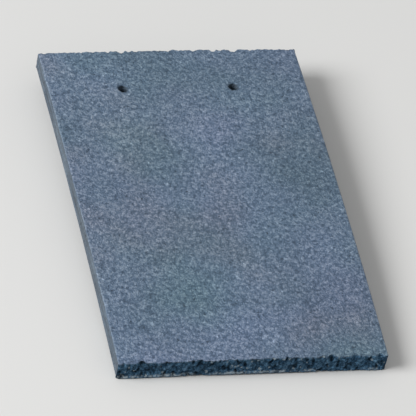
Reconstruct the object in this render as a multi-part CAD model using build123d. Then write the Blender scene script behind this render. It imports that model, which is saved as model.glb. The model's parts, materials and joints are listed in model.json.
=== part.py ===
from build123d import *
import math
import os

# A flat concrete roof tile for laying double-lapped, each course half a tile to the side
# of the one below.  It is one extruded and cut piece of concrete, so it is one solid:
# a plate with a slight camber both ways, two nibs under its head that hook over a
# batten, and two nail holes just below the nibs.
# It lies face up on a level floor, as a loose tile does, on the feet of its nibs and
# the lower corners of its tail.  The tail points to -Y and the head to +Y.
# The origin is on the floor, under the middle of the tile's box.
# All sizes are in millimetres.

# Plate
length = 265.0           # tail to head, straight across the face
width = 165.0            # side to side, across the face
thickness = 13.0
length_camber = 3.5      # rise of the middle of the face above its tail and head
cross_camber = 0.8       # rise of the middle of the face above its sides
side_draft = 0.6         # each side leans in by this much on its way to the underside
face_arris = 1.0         # radius along the upper edge of each side
underside_arris = 1.6    # radius along the lower edge of each side

# Nibs
nib_from_side = 30.5     # from the side of the tile to the middle of the nib
nib_from_head = 20.0     # from the head to the nib's batten face
nib_width = 28.0         # across the tile, where the nib leaves the underside
nib_length = 15.0        # along the tile, where the nib leaves the underside
nib_depth = 11.0         # below the underside, at the batten face
nib_side_draft = 2.0     # each side of a nib leans in by this much over its depth
nib_face_draft = 0.4     # and its batten face by this much
nib_back_slope = 5.0     # and its back, on the head's side, by this much
nib_corner = 2.5         # radius of its upright corners
nib_foot_arris = 1.2     # radius round its foot
nib_root_fillet = 1.5    # radius where it meets the underside

# Nail holes
nail_hole_radius = 3.0
nail_hole_from_side = 47.5
nail_hole_from_head = 36.0


def arc_radius(chord, rise):
    """Radius of the arc that stands this high over this chord."""
    return chord ** 2 / (8 * rise) + rise / 2


# Along the tile, the face is an arc about a line across the tile, far below its middle.
# There the middle of the face is at the height 0, before the tile is laid on the floor.
bend_radius = arc_radius(length, length_camber)
bend_axis = Axis((0, 0, -bend_radius), (-1, 0, 0))
half_bend = math.degrees(math.asin(length / 2 / bend_radius))

# Across the tile, the face and the underside are arcs about one centre
face_radius = arc_radius(width, cross_camber)
underside_radius = face_radius - thickness
underside_half_width = width / 2 - side_draft


def level_on_arc(radius, across):
    """Height of the face's or the underside's arc at this distance from the middle line."""
    return math.sqrt(radius ** 2 - across ** 2) - face_radius


def bend_angle(from_head):
    """Turn about the bend axis, from the middle to this distance from the head."""
    return half_bend - math.degrees(from_head / bend_radius)


def bend_point(angle, level):
    """The point (y, z) at this turn from the middle and this height from the face."""
    reach = bend_radius + level
    y = reach * math.sin(math.radians(angle))
    z = reach * math.cos(math.radians(angle)) - bend_radius
    return y, z


def floor_under_tile():
    """The level floor: it touches the tail's lower corners and the nibs' feet."""
    corner_level = level_on_arc(underside_radius, underside_half_width - underside_arris)
    tail_y, tail_z = bend_point(-half_bend, corner_level)
    foot_y, foot_z = bend_point(bend_angle(nib_from_head), -thickness - nib_depth)
    along = Vector(0, foot_y - tail_y, foot_z - tail_z)
    upward = Vector(1, 0, 0).cross(along)
    return Plane(origin=(0, foot_y, foot_z), x_dir=(1, 0, 0), z_dir=upward)


def tile_section():
    """The plate's section, seen from the tail, with the middle of the face at the origin."""
    face_side = level_on_arc(face_radius, width / 2)
    underside_side = level_on_arc(underside_radius, underside_half_width)
    face = ThreePointArc((-width / 2, face_side), (0, 0), (width / 2, face_side))
    underside = ThreePointArc(
        (underside_half_width, underside_side),
        (0, -thickness),
        (-underside_half_width, underside_side),
    )
    right_side = Line(face @ 1, underside @ 0)
    left_side = Line(underside @ 1, face @ 0)
    section = make_face([face, right_side, underside, left_side])
    section = fillet(section.vertices().sort_by(Axis.Y)[:2], underside_arris)
    return fillet(section.vertices().sort_by(Axis.Y)[-2:], face_arris)


def plate():
    """The plate: its section, carried round the bend from the tail's cut to the head's."""
    tail_cut = (Plane.XZ * tile_section()).rotate(bend_axis, -half_bend)
    return revolve(tail_cut, bend_axis, 2 * half_bend)


def near_head(piece, from_side, from_head, side):
    """A piece modelled at the middle of the tile, taken to its place near the head."""
    across = side * (width / 2 - from_side)
    return (Pos(across, 0, 0) * piece).rotate(bend_axis, bend_angle(from_head))


def nib_outline(start, end, start_lean, end_lean):
    """A nib seen square on: two edges that lean in over its depth, from root to foot.
    It runs on up into the plate, and down past the foot, which is cut off later."""
    root = thickness / 3
    tip = -1.25 * nib_depth

    def at(edge, lean, level):
        return (edge - lean * level / nib_depth, level)

    return Polygon(
        at(start, start_lean, root),
        at(end, -end_lean, root),
        at(end, -end_lean, tip),
        at(start, start_lean, tip),
        align=None,
    )


def nib(side, floor):
    """One nib: a wedge that hooks over the batten, with its foot cut level with the floor."""
    side_view = nib_outline(0, nib_length, nib_face_draft, nib_back_slope)
    tail_view = nib_outline(-nib_width / 2, nib_width / 2, nib_side_draft, nib_side_draft)
    seen_from_side = extrude(Plane.YZ * side_view, nib_width, both=True)
    seen_from_tail = extrude(Plane.XZ * tail_view, 2 * nib_length, both=True)
    wedge = seen_from_side & seen_from_tail
    ends = wedge.faces().sort_by(Axis.Z)
    upright_edges = wedge.edges() - ends[0].edges() - ends[-1].edges()
    wedge = Pos(0, 0, -thickness) * fillet(upright_edges, nib_corner)
    wedge = near_head(wedge, nib_from_side, nib_from_head, side)
    wedge = split(wedge, bisect_by=floor, keep=Keep.TOP)
    foot = wedge.faces().sort_by(lambda face: floor.to_local_coords(face.center()).Z)[0]
    return fillet(foot.edges(), nib_foot_arris)


def nail_hole(side):
    """The round hole that one nail passes through, square to the face."""
    drill = Pos(0, 0, -thickness / 2) * Cylinder(nail_hole_radius, 2 * thickness)
    return near_head(drill, nail_hole_from_side, nail_hole_from_head, side)


def roof_tile():
    """The whole tile, lying on the level floor with the origin under its middle."""
    floor = floor_under_tile()
    body = plate()
    nibs = [nib(side, floor) for side in (-1, 1)]
    joined = body + nibs
    tile = fillet(new_edges(body, *nibs, combined=joined), nib_root_fillet)
    tile -= [nail_hole(side) for side in (-1, 1)]
    lying = floor.to_local_coords(tile)
    box = lying.bounding_box()
    return Pos(0, -box.center().Y, -box.min.Z) * lying


os.makedirs("parts", exist_ok=True)
export_step(roof_tile(), "parts/roof_tile.step")
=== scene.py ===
# %% [markdown]
# # A concrete roof tile
# One plain tile lies face up on a pale floor, waiting to be laid.  Its exact form is already
# modelled: the slight camber both ways, the two nibs under the head and the two nail holes.
# This notebook adds what that form leaves out: the sanded face, the torn knife cuts at the
# tail and the head, and the smooth, pitted skin that lay against mould and pallet.
# Materials alone could dress it, but an edge that is torn only in its colours is still a
# straight line against the floor.  So the mesh is carved first, and the materials follow it.
# The first cell loads the model and keeps its box, because nothing here may leave that box.

# %% Load the model
import bmesh
import bpy
import json
import math
import numpy as np
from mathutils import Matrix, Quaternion, Vector, kdtree, noise


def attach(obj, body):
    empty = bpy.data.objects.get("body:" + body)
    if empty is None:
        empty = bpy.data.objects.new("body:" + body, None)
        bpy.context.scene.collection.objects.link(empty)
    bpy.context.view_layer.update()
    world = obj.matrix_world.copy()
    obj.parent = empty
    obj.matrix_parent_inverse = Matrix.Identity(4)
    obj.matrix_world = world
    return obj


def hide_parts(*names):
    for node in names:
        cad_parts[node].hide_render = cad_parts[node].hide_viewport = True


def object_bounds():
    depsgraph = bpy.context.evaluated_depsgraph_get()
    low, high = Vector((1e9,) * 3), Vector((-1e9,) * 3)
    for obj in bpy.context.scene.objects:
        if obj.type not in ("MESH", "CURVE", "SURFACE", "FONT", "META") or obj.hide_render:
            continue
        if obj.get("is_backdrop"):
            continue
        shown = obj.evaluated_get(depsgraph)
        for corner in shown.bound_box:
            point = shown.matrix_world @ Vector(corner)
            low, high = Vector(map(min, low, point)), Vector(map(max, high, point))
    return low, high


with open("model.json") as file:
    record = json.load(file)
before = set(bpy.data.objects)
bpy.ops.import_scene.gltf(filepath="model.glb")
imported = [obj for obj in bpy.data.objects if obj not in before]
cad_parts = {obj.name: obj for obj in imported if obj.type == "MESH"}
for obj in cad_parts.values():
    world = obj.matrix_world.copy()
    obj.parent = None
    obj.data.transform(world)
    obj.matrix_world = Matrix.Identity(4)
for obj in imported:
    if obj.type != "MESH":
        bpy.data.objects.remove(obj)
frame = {"nodes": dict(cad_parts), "record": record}
cad_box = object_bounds()
modelled_tile = frame["nodes"]["roof_tile"].data
millimetres = 1000.0     # in one metre
print("the tile's box in mm:", [round(side * millimetres, 2) for side in cad_box[1] - cad_box[0]])

# %% [markdown]
# ## The camera
# The photograph looks down on the faces at a little over 40 degrees, from the left of the tail,
# through a long lens, so that the sides of a tile look almost parallel.  It is also tipped a
# little, which lays the tail's edge nearly level across the picture.
# A camera could be dragged into place by eye.  Two angles, a roll and a distance say the same
# and can be read, so the camera is placed by them, and a longer lens brings one tile closer.

# %% Place the camera
camera_turn = math.radians(-20.5)      # round to the left of the tail
camera_height = math.radians(41.6)     # above the floor
camera_roll = math.radians(12.5)       # against the clock
camera_distance = 3.05                 # metres
camera_lens = 437.0                    # millimetres, on a sensor 36 mm wide


def add_object(name, data):
    """A new object in the scene, which shows this data."""
    thing = bpy.data.objects.new(name, data)
    bpy.context.scene.collection.objects.link(thing)
    return thing


towards_camera = Vector((
    math.sin(camera_turn) * math.cos(camera_height),
    -math.cos(camera_turn) * math.cos(camera_height),
    math.sin(camera_height),
))
tile_middle = (cad_box[0] + cad_box[1]) / 2
camera = add_object("camera", bpy.data.cameras.new("camera"))
bpy.context.scene.camera = camera
camera.data.lens = camera_lens
camera.location = tile_middle + towards_camera * camera_distance
camera.rotation_mode = "QUATERNION"
upright_camera = towards_camera.to_track_quat("Z", "Y")
camera.rotation_quaternion = upright_camera @ Quaternion((0, 0, 1), camera_roll)
print("camera at", [round(place, 3) for place in camera.location])

# %% [markdown]
# ## A skin fine enough to carve
# The modelled tile is made of large triangles and long slivers, which can't hold grit or a torn
# edge.  Subdividing it would only cut the slivers smaller.  A voxel remesh lays an even skin of
# half-millimetre squares over the same form instead, as a sculptor would before carving, and
# it keeps the camber, the nibs and the holes where they are.  It needs a closed skin, and the
# loaded mesh is split along its edges, so the corners that share a place are merged first.

# %% Remesh a copy of the tile
skin_size = 0.5          # millimetres, the side of one square
same_place = 0.001       # millimetres, the gap up to which corners are merged


def merged_copy(mesh):
    """A copy of the mesh in which the corners that share a place are one vertex."""
    copy = mesh.copy()
    joined = bmesh.new()
    joined.from_mesh(copy)
    bmesh.ops.remove_doubles(joined, verts=joined.verts, dist=same_place / millimetres)
    joined.to_mesh(copy)
    joined.free()
    return copy


def applied(piece):
    """The piece's mesh as its modifiers leave it."""
    bpy.context.view_layer.update()
    shown = piece.evaluated_get(bpy.context.evaluated_depsgraph_get())
    return bpy.data.meshes.new_from_object(shown)


tile = add_object("tile_body", merged_copy(modelled_tile))
remesh = tile.modifiers.new("fine skin", "REMESH")
remesh.mode = "VOXEL"
remesh.voxel_size = skin_size / millimetres
skin = applied(tile)
tile.modifiers.clear()
tile.data = skin
print("from", len(modelled_tile.vertices), "vertices to", len(skin.vertices), "in the fine skin")

# %% [markdown]
# ## Where each vertex lies
# Every kind of relief belongs to one surface: grit to the face, tearing to the two cuts, pits
# to the underside.  Painting those regions by hand would be slow and would not survive a change
# of size.  Each vertex is measured instead: how far behind the nearer cut it lies, how deep
# under the face, how far in from the nearer side, and how far from a nail hole.
# The cuts come first.  Each is flat, so a middle and a normal say where it is.

# %% Measure how far each vertex lies behind the knife's cuts
same_way = 0.99          # the cosine from which two directions count as one


def read_vectors(items, name):
    """One vector for each item of a mesh, as the rows of an array."""
    flat = np.empty(len(items) * 3)
    items.foreach_get(name, flat)
    return flat.reshape(-1, 3)


def cut_plane(outward):
    """The middle of the flat cut that faces this way, and its normal."""
    cut = [side for side in modelled_tile.polygons if side.normal.dot(outward) > same_way]
    cut = [side for side in cut if side.center.dot(outward) > 0]     # leaves out the nibs
    area = sum(side.area for side in cut)
    middle = sum((side.center * side.area for side in cut), Vector()) / area
    normal = sum((side.normal * side.area for side in cut), Vector()).normalized()
    return np.array(middle) * millimetres, np.array(normal)


points = read_vectors(skin.vertices, "co") * millimetres
normals = read_vectors(skin.vertex_normals, "vector")
tail_middle, tail_normal = cut_plane(Vector((0, -1, 0)))
head_middle, head_normal = cut_plane(Vector((0, 1, 0)))
near_tail = points[:, 1:2] < 0
cut_middles = np.where(near_tail, tail_middle, head_middle)
cut_normals = np.where(near_tail, tail_normal, head_normal)
behind = ((cut_middles - points) * cut_normals).sum(axis=1)
print("tail cut at", tail_middle.round(2), "and head cut at", head_middle.round(2))

# %% [markdown]
# ## How deep under a cambered face
# The face is cambered along and across, so a height alone doesn't say how deep a vertex lies
# under it.  A ray could be cast up from each of 400,000 vertices.  But the camber is so even
# that one formula of four terms follows it, and a least-squares fit finds its four numbers from
# the corners of the modelled face.  The nail holes run straight through the tile, so their
# length in the record is its thickness.

# %% Measure how deep each vertex lies, and how far in from its side
nail_holes = [mount for mount in frame["record"]["mounts"] if mount["kind"] == "bore"]
tile_thickness = nail_holes[0]["dims"]["length_mm"]
half_width = cad_box[1].x * millimetres


def camber_terms(places):
    """The terms of a surface that is curved a little both ways."""
    x, y = places[:, 0], places[:, 1]
    return np.stack([np.ones_like(x), y, y ** 2, x ** 2], axis=1)


face_sides = [side for side in modelled_tile.polygons if side.normal.z > same_way]
face_corners = {corner for side in face_sides for corner in side.vertices}
face_places = [modelled_tile.vertices[corner].co for corner in sorted(face_corners)]
face_places = np.array(face_places) * millimetres
camber = np.linalg.lstsq(camber_terms(face_places), face_places[:, 2], rcond=None)[0]
misfit = camber_terms(face_places) @ camber - face_places[:, 2]
depth = camber_terms(points) @ camber - points[:, 2]
in_from_side = half_width - np.abs(points[:, 0])
print("the tile is", tile_thickness, "mm thick")
print("the face is matched to", round(np.abs(misfit).max(), 3), "mm")

# %% [markdown]
# ## How far from a nail hole
# The pins that made the nail holes left their rims crumbled, so the rims need a measure too.
# The holes could be looked for in the mesh, but the record gives their middles and radii.
# They stand almost upright, so the distance as seen from above is near enough.

# %% Measure how far each vertex lies from the nearest nail hole
def beyond_hole(places):
    """How far out from the wall of the nearest nail hole, and less than 0 inside it."""
    beyond = []
    for hole in nail_holes:
        away = places[:, :2] - np.array(hole["pos_m"][:2]) * millimetres
        beyond.append(np.hypot(away[:, 0], away[:, 1]) - hole["dims"]["r_mm"])
    return np.min(beyond, axis=0)


from_hole = beyond_hole(points)
on_walls = np.abs(from_hole) < skin_size / 2
print("nail holes:", len(nail_holes), "with", on_walls.sum(), "vertices on their walls")

# %% [markdown]
# ## Noise in millimetres
# Concrete has no pattern, but its irregularities have sizes: sand of about a millimetre,
# stones of three or four, a drag of the knife of ten.  A texture would work as well, but noise
# that is read at each vertex can shape the mesh, so a picture of it, a shadow and the outline
# all agree.  A helper gives smooth noise of any size, and its seed keeps it the same each run.

# %% Make the noise helpers
seed_step = 37.3         # how far one seed lies from the next in the endless noise
dome_reach = 0.8         # how far a dome spreads, as a share of its size


def humps(places, size, seed):
    """Smooth noise, mostly from -0.6 to 0.6, whose humps are about this many millimetres."""
    shifted = places / size + seed_step * seed
    return np.array([noise.noise(place) for place in shifted.tolist()])


def stones(places, size, seed):
    """Domes packed side by side, 1 at the top of each and 0 between them."""
    shifted = places / size + seed_step * seed
    nearest = np.array([noise.voronoi(place)[0][0] for place in shifted.tolist()])
    return np.clip(1 - (nearest / dome_reach) ** 2, 0, 1)


def ramp(values, start, end):
    """0 before start, 1 after end, and a smooth step between."""
    share = np.clip((values - start) / (end - start), 0, 1)
    return share * share * (3 - 2 * share)


tried = humps(points[::100], size=2.0, seed=0)
print("humps from", tried.min().round(2), "to", tried.max().round(2), "at", len(tried), "places")

# %% [markdown]
# ## The torn cuts
# The tiles come off the machine as one long ribbon of damp concrete, and a knife chops it to
# length.  The blade drags grit along, plucks stones out, bites lumps out of the upper arris and
# smears thin lips of paste along the lower one.  This is what the photograph shows best.
# A bump map would leave the arris a straight line, so the vertices themselves move.  The cut is
# only ever carved inwards, and the carving fades out a few millimetres behind it.

# %% Pick out the skin that the knife could tear
tear_reach = 6.5         # millimetres that the carving reaches in behind a cut

cut_zone = behind < tear_reach
ends = points[cut_zone]
# the noise is stretched upright, the way that the knife fell, and each cut reads its own part
on_cut = ends * [1, 0, 0.6] + np.sign(ends) * [0, 90, 0]
along_cut = on_cut * [1, 1, 0]
print("vertices to carve:", len(ends))

# %% Tear grit and stones out of the cuts
mean_tear = 0.95         # millimetres, like all of these
deepest_tear = 2.3
wave_height = 0.30
stone_height = 0.55
grit_height = 0.42
drag_height = 0.16
pluck_depth = 0.85

cut_wave = wave_height * humps(on_cut, size=9.0, seed=1)
cut_stones = stones(on_cut, size=3.1, seed=2) - 0.5
cut_grit = humps(on_cut, size=1.3, seed=3)
plucked = ramp(humps(on_cut, size=2.7, seed=4), 0.2, 0.45)
drag = humps(on_cut * [1, 1, 0.2], size=1.6, seed=5)
texture = stone_height * cut_stones + grit_height * cut_grit + drag_height * drag
texture = texture - pluck_depth * plucked
torn = np.clip(mean_tear + cut_wave - texture, 0, deepest_tear)
print("torn", round(torn.mean(), 2), "mm deep on average")

# %% [markdown]
# ## Lips below and bites above
# At the foot of the cut the knife pressed paste against the pallet, which left smoother lips
# there, painted pale, partly as smeared paste and partly as a painted highlight on their ledge.
# At the top nothing held the grains back, so lumps of them broke out.
# Each lip and bite could be placed by hand, but dozens of them would soon look arranged.
# Noise that is read along the cut gives runs and gaps of uneven length instead.

# %% Smear lips along the foot
proudest_grit = 0.06     # millimetres that the proudest grit stays behind the knife's plane
mean_lip = 2.1           # millimetres that the smeared foot is high, on average
foot_pressed = 0.35      # the share of the tearing that the pressed foot is spared
lip_pressed = 0.5        # and what its lips are spared besides

foot_height = tile_thickness - depth[cut_zone]
lip_height = mean_lip + 1.2 * humps(along_cut, size=4.5, seed=17)
lip_height = lip_height + 0.8 * humps(on_cut, size=1.7, seed=18)
near_foot = ramp(lip_height - foot_height, -0.3, 0.4)
lip_runs = humps(along_cut, size=21.0, seed=6) + 0.4 * humps(on_cut, size=2.2, seed=19)
lip = near_foot * ramp(lip_runs, -0.2, 0.15)
torn = proudest_grit + torn * (1 - foot_pressed * near_foot - lip_pressed * lip)
print("lips on", round(100 * np.mean(lip[foot_height < 1] > 0.5)), "percent of the foot")

# %% Bite lumps out of the upper arris
bite_reach = 1.9         # millimetres that the bites go in beyond the tearing
deepest_bite = tear_reach / 2          # any deeper, and the skin would fold over itself

bites = humps(along_cut, size=6.5, seed=7) + 0.15 * humps(along_cut, size=2.4, seed=21)
bites = ramp(bites, 0.12, 0.55)
bites *= 1 - ramp(depth[cut_zone] + 0.8 * humps(on_cut, size=2.4, seed=22), 0.4, 4.0)
torn = np.minimum(torn + bite_reach * bites, deepest_bite)
print("now torn", round(torn.mean(), 2), "mm on average and", round(torn.max(), 2), "at most")

# %% [markdown]
# ## The broken arrises
# Damp concrete keeps no sharp arris.  Grains roll off it, and here and there a chip goes with
# them and takes the sand coat along.  A bevel needs one clean edge to round, and this skin of
# small squares has none.  So each vertex near an arris is moved to where a rounded one would
# put it, with a radius that wanders along the arris.  Where the face sinks, its coat is lost.

# %% Choose how round each arris is
# each radius has a mean and wanders by noise, in millimetres
around_corner = on_cut * [0, 1, 1] + np.sign(ends) * [60, 0, 0]
chipped = ramp(humps(along_cut, size=4.5, seed=23), 0.12, 0.4)
upper_radius = 0.5 + 0.8 * humps(along_cut, size=2.1, seed=8) + 1.5 * chipped
upper_radius = np.clip(upper_radius, 0.15, 2.6)
lower_radius = np.clip(0.3 + 0.35 * humps(along_cut, size=2.6, seed=9), 0.1, 0.8)
corner_radius = np.clip(0.9 + 0.9 * humps(around_corner, size=2.6, seed=10), 0.2, 2.0)
for name, radius in (("upper", upper_radius), ("lower", lower_radius), ("corner", corner_radius)):
    print(name, "radius from", round(radius.min(), 2), "to", round(radius.max(), 2), "mm")

# %% Break the arrises and carve the cuts
def rounded(first, second, radius):
    """Distances in from two faces that meet, moved so that their arris has this radius."""
    near = (first < radius) & (second < radius)
    reach = np.hypot(radius - first, radius - second)
    share = np.where(near, radius / np.maximum(reach, same_place), 1)
    return radius - (radius - first) * share, radius - (radius - second) * share


old_behind = behind[cut_zone]
old_depth = depth[cut_zone]
old_side = in_from_side[cut_zone]
new_behind, new_depth = rounded(old_behind, old_depth, upper_radius)
coat_lost = ramp(new_depth - old_depth, 0.08, 0.25)
new_behind, new_height = rounded(new_behind, tile_thickness - new_depth, lower_radius)
new_behind, new_side = rounded(new_behind, old_side, corner_radius)
new_behind += torn * np.clip(1 - old_behind / tear_reach, 0, 1) ** 2

carved = ends - cut_normals[cut_zone] * (new_behind - old_behind)[:, None]
carved[:, 0] -= np.sign(ends[:, 0]) * (new_side - old_side)
carved[:, 2] += new_height - (tile_thickness - old_depth)
print("arrises moved by up to", round(np.abs(carved - ends).max(), 2), "mm")

# %% [markdown]
# ## Sand and drag lines
# The face is sanded and rolled, so it is covered with clumps of grain a tenth of a millimetre
# high.  The sides slid along the mould's walls, which drew faint lines on them, and the
# underside lay on a smooth pallet.  The fine grit is left to the materials, but the clumps
# catch the light, so they belong to the mesh.  A displacement texture would push all surfaces
# alike.  Here each vertex moves inwards along its own normal, by the relief of the surface
# that it is on, and a little more, so that the highest clump stays inside the tile's box.

# %% Roughen the face, the sides and the underside
relief_sunk = 0.13       # millimetres that the level of the relief lies inside the modelled skin
least_sunk = 0.02        # and the same for its highest clump
most_sunk = 0.5          # and its deepest hollow

facing_up = ramp(normals[:, 2], 0.4, 0.9)
facing_down = ramp(-normals[:, 2], 0.4, 0.9)
facing_aside = 1 - facing_up - facing_down

clumps = humps(points, size=2.1, seed=11)
sand = humps(points, size=1.2, seed=12)
streaks = humps(points * [1, 0.06, 1], size=1.6, seed=13)
# each noise is multiplied by its height in millimetres
face_relief = 0.11 * clumps + 0.06 * sand + 0.08 * humps(points, size=24.0, seed=14)
pallet_relief = 0.03 * sand + 0.05 * humps(points, size=14.0, seed=15)
side_relief = 0.04 * sand + 0.08 * streaks
relief = face_relief * facing_up + pallet_relief * facing_down + side_relief * facing_aside
points[cut_zone] = carved
points -= normals * np.clip(relief_sunk - relief, least_sunk, most_sunk)[:, None]
print("relief from", round(relief.min(), 2), "to", round(relief.max(), 2), "mm")

# %% [markdown]
# ## Crumbled rims
# Round each nail hole the sand coat has crumbled in.  A boolean with a cone would cut a clean
# countersink, which no pin leaves.  So the vertices round the hole sink by noise instead, most
# of all at the rim, and less down the wall and out over the face.

# %% Crumble the rims of the nail holes
rim_reach = 1.4          # millimetres that the crumbled rim reaches out over the face
rim_depth = 2.4          # and down the wall of the hole

rim = (1 - ramp(from_hole, 0, rim_reach)) * (1 - ramp(depth, 0.1, rim_depth))
crumbled = rim * np.clip(0.35 + 0.8 * humps(points, size=1.7, seed=20), 0.05, 0.9)
points[:, 2] -= crumbled
print("rims crumbled by up to", round(crumbled.max(), 2), "mm")

# %% [markdown]
# ## Pits
# Air that was trapped against pallet and mould left pinholes, and a few grains fell out of the
# face.  Noise can't give such round hollows, each apart from the next.  They are pressed in one
# by one instead, at vertices drawn at random from each surface.  A tree of places finds the
# vertices round each one fast, and a seed for the draws keeps the pits the same each run.

# %% Press in the pits
draws = np.random.default_rng(seed=5)
places_before = read_vectors(skin.vertices, "co") * millimetres
nearby = kdtree.KDTree(len(points))
for index, place in enumerate(places_before.tolist()):
    nearby.insert(place, index)
nearby.balance()
pitted = np.zeros(len(points))


def press_pits(where, count, radii, steepness):
    """Sinks small round pits at places drawn from the chosen vertices."""
    for middle in draws.choice(np.flatnonzero(where), count, replace=False):
        radius = draws.uniform(*radii)
        for place, index, distance in nearby.find_range(places_before[middle], radius):
            bowl = (1 - (distance / radius) ** 2) ** 1.5
            points[index] -= normals[index] * steepness * radius * bowl
            pitted[index] = max(pitted[index], bowl)


squarely = 0.99          # the share of facing one way from which a vertex is on that surface
plain = behind > tear_reach
press_pits(plain & (facing_up > squarely), count=60, radii=(0.7, 1.5), steepness=0.35)
press_pits(plain & (facing_down > squarely), count=150, radii=(0.6, 1.7), steepness=0.45)
press_pits(plain & (facing_aside > squarely), count=70, radii=(0.6, 1.2), steepness=0.40)
print("vertices in pits:", np.count_nonzero(pitted))

# %% [markdown]
# ## What the materials need to know
# A material can't tell by itself that a grain stands proud or that a spot lies on a cut.  It
# could guess from the angle of the surface, but the carving already knew.  So the mesh carries
# such numbers: an attribute holds one for each vertex, and a node reads it.

# %% Write the measures onto the skin
on_the_cut = ramp(-old_behind, -1.0, -0.3)       # 1 on a cut, 0 from a millimetre behind it
proud = 0.5 + facing_up * (0.55 * clumps + 0.3 * sand) + facing_aside * 0.5 * streaks
proud[cut_zone] += (0.5 + 0.45 * texture - proud[cut_zone]) * on_the_cut
proud -= pitted + crumbled
lips_and_ledge_highlight = np.zeros(len(points))
# the pale lips stop short of the foot, so a dark strip of paste stays under them as a painted
# shadow
lips_and_ledge_highlight[cut_zone] = lip * ramp(foot_height, 0.4, 1.0)
bared = np.zeros(len(points))
bared[cut_zone] = coat_lost
# the materials turn proud into painted shade in the hollows and pits and painted light on the grit
measures = {
    "proud": np.clip(proud, 0, 1),       # 0 in a hollow, 1 on the highest grit
    "behind": behind,
    "depth": depth,
    "lip": lips_and_ledge_highlight,
    "bared": bared,
    "side": in_from_side,
}
for name, values in measures.items():
    attribute = skin.attributes.new(name, "FLOAT", "POINT")
    attribute.data.foreach_set("value", values.astype(np.float32))
    print(name, "from", round(values.min(), 2), "to", round(values.max(), 2))

# %% [markdown]
# ## Thinning the mesh
# The carved skin has over 800,000 triangles, most of them on nearly flat ground.  A coarser
# remesh would have lost the torn arris.  Collapsing edges afterwards keeps small triangles
# where the surface is rough and lets them grow where it is calm, which is how a carved model
# is usually made light enough to use.

# %% Thin the mesh and put the tile in its place
triangle_limit = 190000

box_in_mm = [np.array(corner) * millimetres for corner in cad_box]
points = np.clip(points, box_in_mm[0], box_in_mm[1])
skin.vertices.foreach_set("co", (points / millimetres).ravel())
skin.update()
thinning = tile.modifiers.new("thinning", "DECIMATE")
thinning.ratio = triangle_limit / (2 * len(skin.polygons))       # each square is two triangles
thinning.use_collapse_triangulate = True
thinned = applied(tile)
tile.modifiers.clear()
tile.data = thinned
bpy.data.meshes.remove(skin)
thinned.shade_smooth()
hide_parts("roof_tile")
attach(tile, "root")
print("thinned to", len(thinned.polygons), "triangles")

# %% [markdown]
# ## Which surface is which
# The look of a tile changes at its arrises: the face is sanded and coated, the cuts are raw
# concrete, and the rest took its skin from mould and pallet.  Each gets its own material.
# The triangles could be selected by hand.  They are sorted by the same measures as before
# instead, which were taken before the carving and still say where each vertex came from.

# %% Sort the triangles into three finishes
cut_skin = 0.5           # millimetres behind the knife's plane that still count as the cut
face_skin = 1.0          # millimetres under the face that still count as the face
face_margin = 0.3        # millimetres that the face's finish laps over its side arrises


def triangle_corners(mesh):
    """The three vertices of each triangle, as the rows of an array."""
    corners = np.empty(3 * len(mesh.polygons), np.int32)
    mesh.loops.foreach_get("vertex_index", corners)
    return corners.reshape(-1, 3)


def triangle_averages(mesh, name):
    """The average of an attribute over each triangle."""
    values = np.empty(len(mesh.vertices), np.float32)
    mesh.attributes[name].data.foreach_get("value", values)
    return values[triangle_corners(mesh)].mean(axis=1)


face_finish, cut_finish, mould_finish = range(3)
from_cut = triangle_averages(thinned, "behind")
from_face = triangle_averages(thinned, "depth")
from_side = triangle_averages(thinned, "side")
from_underside = tile_thickness - from_face
finish = np.full(len(from_cut), mould_finish)
finish[(from_cut < cut_skin) & (from_cut < from_side)] = cut_finish
finish[from_cut > from_underside] = mould_finish
finish[(from_face < face_skin) & (from_face < from_side + face_margin)] = face_finish
thinned.materials.clear()
for name in ("sanded_face", "torn_cut", "mould_skin"):
    thinned.materials.append(bpy.data.materials.new(name))
thinned.polygons.foreach_set("material_index", finish.astype(np.int32))
print("triangles of each finish:", np.bincount(finish))

# %% [markdown]
# ## Nodes with less typing
# A procedural material is a small program of nodes.  Written out in full, each node takes four
# or five lines, which hides the idea.  A few helpers make a node and wire it in one call.
# The plainest of the three skins is finished first, so that each helper can be made where it
# is first needed.

# %% Make the node helpers
def add_node(tree, kind, inputs, **settings):
    """A new node: its settings, then each input set to a value or wired to a socket."""
    node = tree.nodes.new("ShaderNode" + kind)
    for name, value in settings.items():
        setattr(node, name, value)
    for name, value in inputs.items():
        if isinstance(value, bpy.types.NodeSocket):
            tree.links.new(value, node.inputs[name])
        else:
            node.inputs[name].default_value = value
    return node


def start_material(name):
    """The tree of a material that was empty until now, and its shader."""
    material = bpy.data.materials[name]
    material.use_nodes = True
    return material.node_tree, material.node_tree.nodes["Principled BSDF"]


def place_on_tile(tree):
    """The spot that is being shaded, in metres and in the tile's own frame."""
    return add_node(tree, "TexCoord", {}).outputs["Object"]


def measured(tree, name):
    """A number that the mesh carries."""
    return add_node(tree, "Attribute", {}, attribute_name=name).outputs["Fac"]


def span(tree, value, low, high, start=0.0, end=1.0):
    """The value, taken from start..end to low..high."""
    inputs = {"Value": value, "From Min": start, "From Max": end, "To Min": low, "To Max": high}
    return add_node(tree, "MapRange", inputs).outputs[0]


tree, shader = start_material("mould_skin")
place = place_on_tile(tree)
print("mould_skin starts with", len(tree.nodes), "nodes")

# %% [markdown]
# ## The skin from mould and pallet
# The sides and the underside are through-coloured concrete with no sand coat: closer and
# smoother than the face, a little chalky in clouds where lime has come out, and with painted
# shade inside each pinhole.
# A picture of concrete could be laid on them, but it would be stretched or cut at every arris.
# Noise that is read at a place in space runs on round the arrises.  Its sizes are given in
# millimetres here, and a seed moves it, so that no two patterns agree.

# %% Cloud the skin with lime
def moved(tree, place, seed):
    """The same place in another part of a pattern."""
    return add_node(tree, "VectorMath", {0: place, 1: (seed, seed, seed)}).outputs[0]


def cloud(tree, place, size, seed, start=0.3, end=0.7, detail=2.0):
    """Smooth noise of this size in millimetres, stretched to run from 0 to 1."""
    inputs = {"Vector": moved(tree, place, seed), "Scale": millimetres / size, "Detail": detail}
    return span(tree, add_node(tree, "TexNoise", inputs).outputs[0], 0, 1, start, end)


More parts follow.
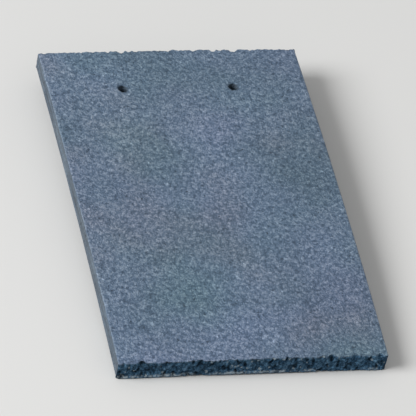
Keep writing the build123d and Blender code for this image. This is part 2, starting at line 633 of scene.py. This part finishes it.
def blended(tree, share, first, second):
    """One colour turning into another as the share goes from 0 to 1."""
    # a Mix node takes its two colours at sockets 6 and 7 and gives the blend at socket 2
    return add_node(tree, "Mix", {0: share, 6: first, 7: second}, data_type="RGBA").outputs[2]


closed_grey = (0.060, 0.098, 0.146, 1)
chalky_grey = (0.116, 0.156, 0.200, 1)

chalky = cloud(tree, place, size=26, seed=21, detail=4.0)
colour = blended(tree, chalky, closed_grey, chalky_grey)
print("with clouds of lime:", len(tree.nodes), "nodes")

# %% [markdown]
# ## Grains
# Close up, concrete is a crowd of grains, each with a tone of its own and a rounded top.  More
# noise would only look like finer cloud.  The cells of a Voronoi texture lie side by side as
# grains do: each has a random colour, and the distance from its middle makes its dome, which
# here also paints shade round the rim of each grain.  Their straight edges would look like a
# mosaic, so noise pushes the place about before the cells are drawn.

# %% Fill the skin with grains
def uneven(tree, place, size):
    """The place pushed about by noise, so that what is drawn there gets uneven edges."""
    noise_inputs = {"Vector": place, "Scale": 1.3 * millimetres / size}
    push = add_node(tree, "TexNoise", noise_inputs).outputs["Color"]
    reach = (0.9 * size / millimetres,) * 3
    inputs = {0: push, 1: reach, 2: place}
    return add_node(tree, "VectorMath", inputs, operation="MULTIPLY_ADD").outputs[0]


def grains(tree, place, size, seed):
    """Grains of this size in millimetres: a random tone for each, and a dome, 1 at its top."""
    moved_place = uneven(tree, moved(tree, place, seed), size)
    cells = add_node(tree, "TexVoronoi", {"Vector": moved_place, "Scale": millimetres / size})
    tones = add_node(tree, "SeparateColor", {"Color": cells.outputs["Color"]})
    domes = span(tree, cells.outputs["Distance"], 1, 0, start=0, end=dome_reach)
    return tones.outputs[0], domes


def shaded(tree, colour, brightness):
    """A colour made lighter or darker by a factor."""
    return add_node(tree, "VectorMath", {0: colour, 3: brightness}, operation="SCALE").outputs[0]


tones, domes = grains(tree, place, size=0.7, seed=23)
colour = shaded(tree, colour, span(tree, cloud(tree, place, size=2.2, seed=22), 0.82, 1.18))
colour = shaded(tree, colour, span(tree, tones, 0.70, 1.30))
# painted shade round the rim of each grain, darker between the domes
colour = shaded(tree, colour, span(tree, domes, 0.84, 1.06, start=0, end=0.6))
print("with grains:", len(tree.nodes), "nodes")

# %% [markdown]
# ## Drag lines and pinholes
# The sides also carry faint lines, drawn along the tile as it slid through the machine, and
# the pinholes get painted shade, darker than the skin round them.  Noise that is read at places
# squeezed along the tile gives such lines.  The measure of how far in from its side a spot lies
# keeps them on the sides, and the measure of how proud it stands puts the painted shade into
# the pinholes.

# %% Draw the lines and darken the pinholes
def combined(tree, operation, first, second):
    """Two values put together, by MULTIPLY, SUBTRACT or MAXIMUM."""
    return add_node(tree, "Math", {0: first, 1: second}, operation=operation).outputs[0]


def product(tree, first, second):
    """Two values multiplied."""
    return combined(tree, "MULTIPLY", first, second)


squeezed = add_node(tree, "VectorMath", {0: place, 1: (1, 0.05, 1)}, operation="MULTIPLY")
drag_lines = cloud(tree, squeezed.outputs[0], size=1.0, seed=25)
on_side = span(tree, measured(tree, "side"), 1, 0, start=0.6, end=1.4)
drag_lines = product(tree, drag_lines, on_side)
colour = shaded(tree, colour, span(tree, drag_lines, 1.0, 0.68))
# painted shade: darker in the pinholes and in the hollows of the drag streaks, lighter on their
# ridges
painted_hollow_shade = span(tree, measured(tree, "proud"), 0.45, 1.15, start=0.1, end=0.7)
colour = shaded(tree, colour, painted_hollow_shade)
tree.links.new(colour, shader.inputs["Base Color"])
print("with lines and pinholes:", len(tree.nodes), "nodes")

# %% [markdown]
# ## Grain that catches the light
# Grains of under a millimetre are too small for this mesh, but they still catch the light.
# Real displacement would need millions of triangles.  A bump node leaves the mesh as it is and
# only turns the shading, which is enough for what is too small to change an outline.  Several
# bumps are chained by their normals, and the grains also differ a little in how dull they are.

# %% Raise the grain of the sides and the underside
def rough_skin(tree, shader, *layers):
    """Gives the shader hollows and humps: for each layer a height and its millimetres."""
    target = shader.inputs["Normal"]
    for height, deep in layers:
        bump = add_node(tree, "Bump", {"Height": height, "Distance": deep / millimetres})
        tree.links.new(bump.outputs["Normal"], target)
        target = bump.inputs["Normal"]


fine_grain = cloud(tree, place, size=1.1, seed=24)
rough_skin(tree, shader, (domes, 0.13), (fine_grain, 0.12), (drag_lines, 0.12))
tree.links.new(span(tree, tones, 0.6, 0.75), shader.inputs["Roughness"])
print("mould_skin:", len(tree.nodes), "nodes")

# %% [markdown]
# ## The colour of a torn cut
# A cut shows the concrete itself: dark, damp-looking paste round sand and small stones of mixed
# tones, a few of them pale, with a pale skin on the lips that the knife smeared, which is partly
# a painted highlight on their ledge.  Grit that stands proud is painted lighter, partly as
# rubbed grit and partly as painted highlight, and the hollows and the gaps between grains get
# painted shade.  It hardly shines.  One noise would look like cloud.  Grains with tones of their
# own, with painted shade by how proud they stand, look like broken concrete, also in shade.

# %% Finish the torn cuts
def specks(tree, place, size, seed, radius, share):
    """Small soft spots on this share of the grains, out to this part of a grain's size."""
    tones, domes = grains(tree, place, size, seed)
    chosen = span(tree, tones, 0, 1, start=1 - share, end=1.02 - share)
    rim = 1 - radius / dome_reach
    return product(tree, chosen, span(tree, domes, 0, 1, start=rim, end=0.7 * rim + 0.3))


def raw_concrete(tree, place):
    """The colour of concrete that was torn while it was damp, with painted shade and highlights on
    its relief, and the domes of its grains.
    """
    damp_paste = (0.014, 0.042, 0.080, 1)
    dry_paste = (0.055, 0.122, 0.198, 1)
    # rubbed grit, partly a painted highlight on the proud grit
    rubbed_grit_and_highlight = (0.150, 0.228, 0.296, 1)
    pale_stone = (0.27, 0.33, 0.37, 1)
    # pale lips: partly smeared paste, partly a painted highlight on their ledge
    smeared_paste_and_highlight = (0.40, 0.47, 0.52, 1)
    proud = measured(tree, "proud")
    colour = blended(tree, cloud(tree, place, size=3.4, seed=11), damp_paste, dry_paste)
    # painted shade in the hollows of the cut and painted light on the grit that stands proud
    colour = shaded(tree, colour, span(tree, proud, 0.35, 1.6, start=0.2, end=0.75))
    tones, domes = grains(tree, place, size=1.1, seed=12)
    colour = shaded(tree, colour, span(tree, tones, 0.6, 1.5))
    # painted shade round the rim of each grain
    colour = shaded(tree, colour, span(tree, domes, 0.55, 1.15, start=0, end=0.6))
    colour = shaded(tree, colour, span(tree, cloud(tree, place, size=40, seed=17), 0.85, 1.2))
    # paler proud grit: partly rubbed, partly a painted highlight
    rubbed_and_highlit = span(tree, proud, 0, 0.8, start=0.52, end=0.78)
    rubbed_and_highlit = product(tree, rubbed_and_highlit, span(tree, tones, 0, 1, start=0.3, end=0.9))
    colour = blended(tree, rubbed_and_highlit, colour, rubbed_grit_and_highlight)
    pale = specks(tree, place, size=1.9, seed=13, radius=0.5, share=0.10)
    colour = blended(tree, product(tree, pale, 0.7), colour, pale_stone)
    # the pale lips, partly smeared paste and partly a painted highlight
    smeared_and_highlit = cloud(tree, place, size=2.0, seed=14, start=0.35, end=0.55)
    smeared_and_highlit = product(tree, measured(tree, "lip"), smeared_and_highlit)
    return blended(tree, product(tree, smeared_and_highlit, 0.8), colour, smeared_paste_and_highlight), domes


tree, shader = start_material("torn_cut")
place = place_on_tile(tree)
colour, domes = raw_concrete(tree, place)
tree.links.new(colour, shader.inputs["Base Color"])
shader.inputs["Roughness"].default_value = 0.9
shader.inputs["Specular IOR Level"].default_value = 0.05
rough_skin(tree, shader, (domes, 0.35), (cloud(tree, place, size=0.6, seed=15), 0.3))
print("torn_cut:", len(tree.nodes), "nodes")

# %% [markdown]
# ## The sanded face from afar
# In the photograph the faces are slate blue to teal grey, speckled all over, with soft patches
# of violet and a rare warm one.  Coated sand grains of about a millimetre make the speckle,
# and clumps of them, about two millimetres wide, are what the eye sees from a distance.
# One noise can't hold all these scales, so the colour is built in layers, broad patches first.

# %% Spread the broad patches over the face
slate_blue = (0.119, 0.173, 0.266, 1)
teal_grey = (0.086, 0.148, 0.200, 1)
violet_grey = (0.168, 0.199, 0.318, 1)
warm_grey = (0.196, 0.190, 0.212, 1)

tree, shader = start_material("sanded_face")
place = place_on_tile(tree)
patches = blended(tree, cloud(tree, place, size=84, seed=1), slate_blue, teal_grey)
violet = cloud(tree, place, size=70, seed=2, start=0.45, end=0.72)
patches = blended(tree, product(tree, violet, 0.35), patches, violet_grey)
warm = cloud(tree, place, size=90, seed=3, start=0.55, end=0.8)
patches = blended(tree, product(tree, warm, 0.45), patches, warm_grey)
patches = shaded(tree, patches, span(tree, cloud(tree, place, size=64, seed=16), 0.88, 1.12))
print("broad patches:", len(tree.nodes), "nodes")

# %% [markdown]
# ## The speckle of the sand
# Each grain is coated, but its tone differs a little, and here and there a grain has lost its
# coat and shows pale.  Clumps that stand proud are painted paler, and their hollows, the pores
# and the gaps between grains get painted shade.  All these only make the patches lighter or
# darker, so they are multiplied into one brightness.  A grey factor by itself would leave the
# speckle lifeless, so its dark spots, painted shade among them, also turn bluer, and its pale
# ones greyer.

# %% Speckle the face with sand
def speckled(tree, colour, brightness):
    """A colour shaded by a factor near 1: the dark spots stay bluer, and the pale ones go grey."""
    # the dark spots, painted shade among them, turn bluer, and the pale ones greyer
    bluer_darks_and_shade = (0.87, 1.0, 1.09)
    greyer_pales_and_highlight = (1.13, 1.0, 0.91)
    share = span(tree, brightness, 0, 1, start=0.6, end=1.4)
    # for vectors, a Mix node has its sockets at 4 and 5 and the blend at socket 1
    tint = {"Factor": share, 4: bluer_darks_and_shade, 5: greyer_pales_and_highlight}
    tint = add_node(tree, "Mix", tint, data_type="VECTOR").outputs[1]
    colour = shaded(tree, colour, brightness)
    return add_node(tree, "VectorMath", {0: colour, 1: tint}, operation="MULTIPLY").outputs[0]


tones, domes = grains(tree, place, size=0.9, seed=6)
pore_shade = specks(tree, place, size=5.2, seed=7, radius=0.12, share=0.9)
bare_grains = specks(tree, place, size=2.6, seed=18, radius=0.4, share=0.07)
# painted light on the clumps that stand proud and painted shade in their hollows
speckle_and_shade = span(tree, measured(tree, "proud"), 0.62, 1.38, start=0.2, end=0.8)
speckle_and_shade = product(tree, speckle_and_shade, span(tree, cloud(tree, place, size=1.9, seed=5), 0.73, 1.27))
speckle_and_shade = product(tree, speckle_and_shade, span(tree, tones, 0.68, 1.32))
# painted shade round the rim of each grain
speckle_and_shade = product(tree, speckle_and_shade, span(tree, domes, 0.78, 1.08, start=0, end=0.6))
# painted shade in the pores
speckle_and_shade = product(tree, speckle_and_shade, span(tree, pore_shade, 1.0, 0.35))
speckle_and_shade = product(tree, speckle_and_shade, span(tree, bare_grains, 1.0, 1.5))
coat = speckled(tree, patches, speckle_and_shade)
print("with the speckle:", len(tree.nodes), "nodes")

# %% [markdown]
# ## Where the coat is worn or gone
# Along its side arrises the coat turns paler and greyer, partly rubbed thin and partly a painted
# highlight on the rounded arris.  At the broken arris of a cut it is gone, and the raw concrete
# shows.  Both could be painted by hand, but the measures on the mesh already say where they are:
# a chip counts as bared, and so does all that lies nearer to a cut than to the face.  The sand
# is dull, but not evenly, and its domes raise the skin.

# %% Wear the coat and finish the sanded face
arris_grey_and_highlight = (0.210, 0.262, 0.325, 1)

# paler and greyer along the side arrises: partly rubbed coat, partly a painted highlight
at_arris = span(tree, measured(tree, "side"), 1, 0, start=0.3, end=1.3)
worn_and_highlit = product(tree, at_arris, cloud(tree, place, size=5.0, seed=10, start=0.35, end=0.6))
coat = blended(tree, product(tree, worn_and_highlit, 0.6), coat, arris_grey_and_highlight)
under_arris = combined(tree, "SUBTRACT", measured(tree, "depth"), measured(tree, "behind"))
broken = span(tree, under_arris, 0, 1, start=-0.15, end=0.15)
broken = combined(tree, "MAXIMUM", broken, measured(tree, "bared"))
colour = blended(tree, broken, coat, raw_concrete(tree, place)[0])
tree.links.new(colour, shader.inputs["Base Color"])
dullness = span(tree, cloud(tree, place, size=1.2, seed=8), 0.55, 0.8)
tree.links.new(dullness, shader.inputs["Roughness"])
rough_skin(tree, shader, (domes, 0.22), (cloud(tree, place, size=1.4, seed=9), 0.2))
print("sanded_face:", len(tree.nodes), "nodes")

# %% [markdown]
# ## Unfolding the skin
# The colours above are worked out at each place in space, but a game or a web page wants them
# as a picture laid on the mesh, so the skin has to be unfolded flat.  An automatic unwrap
# would tear this rough skin into thousands of scraps.  A tile is a box at heart, so its skin
# is cut along the arrises and each side is laid down straight, like the faces of a carton.
# The walls of the nibs and of the nail holes would fall on the cuts' own sheets, so they get
# small sheets of their own.

# %% Choose a sheet for each triangle
nib_margin = 0.3         # millimetres below the underside from which a triangle is a nib's
hole_margin = 0.4        # millimetres from a hole's wall that still count as the wall

places = read_vectors(thinned.vertices, "co") * millimetres
spots = places[triangle_corners(thinned)]
middles = spots.mean(axis=1)
facings = read_vectors(thinned.polygons, "normal")
rows = np.arange(len(spots))

# the large sheets: an axis, x for a side, y for a cut, z for the rest, and a way along it
nearest = np.argmin([from_side, from_cut, from_face, from_underside], axis=0)
axis = np.minimum(nearest, 2)
up_or_down = np.where(nearest == 2, 1, -1)
way = np.where(nearest < 2, np.sign(middles[rows, axis]), up_or_down)

# the small sheets: the axis and the way that a triangle faces
in_nib = from_face > tile_thickness + nib_margin
in_hole = beyond_hole(middles) < hole_margin
in_hole &= (from_face > hole_margin) & (from_face < tile_thickness - hole_margin)
small = in_nib | in_hole
facing_axis = np.abs(facings).argmax(axis=1)
axis = np.where(small, facing_axis, axis)
way = np.where(small, np.sign(facings[rows, facing_axis]), way)

# the walls of the left and right nib are parts 1 and 2, those of the holes 3 and 4
part = (small & (axis < 2)) * (1 + 2 * in_hole + (middles[:, 0] > 0))
sheets, sheet = np.unique(6 * part + 2 * axis + (way > 0), return_inverse=True)
print("sheets:", len(sheets))

# %% Lay each sheet flat
sheet_gap = 3.0          # millimetres

flat = np.empty((len(spots), 3, 2))
sizes = []
for index in range(len(sheets)):
    chosen = np.flatnonzero(sheet == index)
    sheet_axis, sheet_way = axis[chosen[0]], way[chosen[0]]
    along, up = ((1, 2), (0, 2), (0, 1))[sheet_axis]
    mirrored = -sheet_way if sheet_axis == 1 else sheet_way
    laid = np.stack([mirrored * spots[chosen, :, along], spots[chosen, :, up]], axis=2)
    laid -= laid.min(axis=(0, 1))
    flat[chosen] = laid
    sizes.append(laid.max(axis=(0, 1)))
print("largest sheet:", np.max(sizes, axis=0).round(1), "mm")

# %% [markdown]
# ## Packing the sheets
# The sheets share one square picture and may not overlap.  A packing tool could fill it more
# tightly by turning and scaling them, but at one scale the grain stays equally sharp on every
# side.  So they stand in rows like books on shelves, the tallest first, in a square that is
# wide enough for the face and the underside side by side.

# %% Pack the sheets in rows
square = 4 * half_width + 6 * sheet_gap

pen = np.zeros(2)
row_height = 0.0
for index in sorted(range(len(sizes)), key=lambda index: -sizes[index][1]):
    if pen[0] + sizes[index][0] > square:
        pen = np.array([0, pen[1] + row_height + sheet_gap])
        row_height = 0.0
    flat[sheet == index] += pen
    pen[0] += sizes[index][0] + sheet_gap
    row_height = max(row_height, sizes[index][1])

unfolded = thinned.uv_layers.new(name="OFBake")      # the name of the unfolded map; the name that the export looks for
unfolded.uv.foreach_set("vector", (flat / square).astype(np.float32).ravel())
print("unfolded into", round(square), "mm square, filled to", round(pen[1] + row_height), "mm")

# %% [markdown]
# ## The floor
# A plain pale floor lets the tile's own colour and its ragged outline speak.  A curved backdrop
# would need to turn with every new view, so the floor is simply so large that no camera sees
# past its rim.

# %% Lay the floor
half_floor = 30.0        # metres
pale_grey = (0.74, 0.74, 0.73, 1)

floor_mesh = bpy.data.meshes.new("floor")
floor_corners = [(-1, -1, 0), (1, -1, 0), (1, 1, 0), (-1, 1, 0)]
floor_corners = [Vector(corner) * half_floor for corner in floor_corners]
floor_mesh.from_pydata(floor_corners, [], [(0, 1, 2, 3)])
floor_mesh.materials.append(bpy.data.materials.new("floor"))
floor = add_object("floor", floor_mesh)
tree, shader = start_material("floor")
shader.inputs["Base Color"].default_value = pale_grey
shader.inputs["Roughness"].default_value = 1.0
shader.inputs["Specular IOR Level"].default_value = 0.0
floor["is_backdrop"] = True
print("floor:", 2 * half_floor, "m square")

# %% [markdown]
# ## The light
# In the photograph soft daylight falls evenly on the faces and leaves the cuts, which point
# away from it, four times darker.  A white world gives that even light.  It shows brighter in
# the picture and in reflections than it lights the tile, so that it can be as pale as the
# floor without washing the colours out.

# %% Make the sky
sky_light = 0.42         # on the tile and the floor
sky_seen = 0.8           # in the picture and in reflections

world = bpy.data.worlds.new("studio")
bpy.context.scene.world = world
world.use_nodes = True
tree = world.node_tree
sky = tree.nodes["Background"]
sky.inputs["Color"].default_value = (1, 1, 1, 1)
ray = add_node(tree, "LightPath", {}).outputs
seen = combined(tree, "MAXIMUM", ray["Is Camera Ray"], ray["Is Glossy Ray"])
seen = combined(tree, "MAXIMUM", seen, ray["Is Transmission Ray"])
tree.links.new(span(tree, seen, sky_light, sky_seen), sky.inputs["Strength"])
print("sky:", sky_light, "on the tile,", sky_seen, "in the picture")

# %% [markdown]
# ## The lamps
# An even sky alone would show no grain.  One strong lamp would leave a bright pool on the
# floor, so a wide soft sun on the left does most of the work and lights near and far floor
# alike, and a weak lamp on the same side adds a slight fall from left to right.  Together with
# the sky they show a colour about as it is written.

# %% Hang the lamps
light_place = Vector((-1.0, -0.12, 0.72))        # metres
sun_strength = 2.3       # watts for each square metre
sun_width = math.radians(30)
lamp_strength = 4.0      # watts
lamp_size = 0.6          # metres


def add_lamp(kind, name, strength):
    """A lamp on the left that points at the tile and doesn't show in the picture."""
    lamp = add_object(name, bpy.data.lights.new(name, kind))
    lamp.data.energy = strength
    lamp.location = light_place
    lamp.rotation_mode = "QUATERNION"
    lamp.rotation_quaternion = (light_place - tile_middle).to_track_quat("Z", "Y")
    lamp.visible_camera = False
    return lamp


sun = add_lamp("SUN", "wide_sun", sun_strength)
sun.data.angle = sun_width
lamp = add_lamp("AREA", "soft_lamp", lamp_strength)
lamp.data.size = lamp_size
bpy.context.scene.view_settings.view_transform = "Standard"
print("lamps:", sun.name, "and", lamp.name)

# %% [markdown]
# ## The sizes
# The carving only took concrete away, so the dressed tile must still lie inside the modelled
# tile's box.  The last line prints the room left between the two boxes.

# %% Measure the room left inside the box
visual_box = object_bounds()
room = [visual_box[0] - cad_box[0], cad_box[1] - visual_box[1]]
print("room inside the box in mm:", [[round(gap * millimetres, 2) for gap in end] for end in room])
